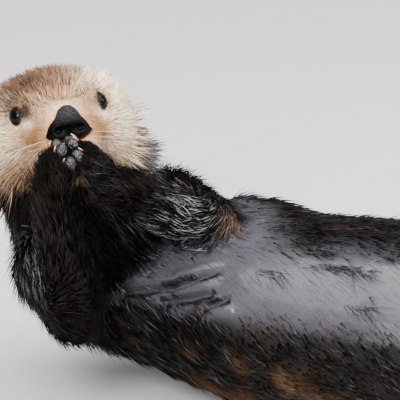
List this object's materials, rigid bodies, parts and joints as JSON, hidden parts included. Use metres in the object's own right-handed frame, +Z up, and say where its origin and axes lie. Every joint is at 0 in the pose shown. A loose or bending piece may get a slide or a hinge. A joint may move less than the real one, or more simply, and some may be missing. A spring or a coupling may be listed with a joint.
{
  "type": "sea otter",
  "caption": "Life-size still model of a sea otter lying on its back, head raised and turned to its right, both forepaws held under its chin.",
  "frame": {"origin": "centre of the bounding box in X and Y, on the floor plane that the back rests on", "axes": "+X from head to tail, +Y to the animal's left, +Z up"},
  "size_m": [1.0312, 0.3924, 0.319],
  "materials": {
    "pale_fur": "dry cream to taupe guard hairs",
    "grey_fur": "damp grey fur",
    "dark_fur": "wet black-brown fur with a broad sheen",
    "flipper_fur": "short wet fur over webbed toes",
    "nose_leather": "pebbled matt skin",
    "pad_leather": "grainy grey pad skin",
    "eye_gloss": "wet gloss",
    "claw": "smooth horn"
  },
  "bodies": {
    "root": {"head": "pale_fur", "nose": "nose_leather", "eye_left": "eye_gloss", "eye_right": "eye_gloss", "ear_left": "grey_fur", "ear_right": "grey_fur", "neck": "grey_fur", "chest": "dark_fur", "belly": "dark_fur", "hips": "dark_fur", "upper_arm_left": "dark_fur", "forearm_left": "dark_fur", "forepaw_left": "pad_leather", "fore_claw_left_1": "claw", "fore_claw_left_2": "claw", "fore_claw_left_3": "claw", "fore_claw_left_4": "claw", "fore_claw_left_5": "claw", "upper_arm_right": "dark_fur", "forearm_right": "dark_fur", "forepaw_right": "pad_leather", "fore_claw_right_1": "claw", "fore_claw_right_2": "claw", "fore_claw_right_3": "claw", "fore_claw_right_4": "claw", "fore_claw_right_5": "claw", "thigh_left": "dark_fur", "shank_left": "dark_fur", "hind_flipper_left": "flipper_fur", "hind_claw_left_1": "claw", "hind_claw_left_2": "claw", "hind_claw_left_3": "claw", "hind_claw_left_4": "claw", "hind_claw_left_5": "claw", "thigh_right": "dark_fur", "shank_right": "dark_fur", "hind_flipper_right": "flipper_fur", "hind_claw_right_1": "claw", "hind_claw_right_2": "claw", "hind_claw_right_3": "claw", "hind_claw_right_4": "claw", "hind_claw_right_5": "claw", "tail_base": "dark_fur", "tail_tip": "dark_fur"}
  },
  "joints": []
}
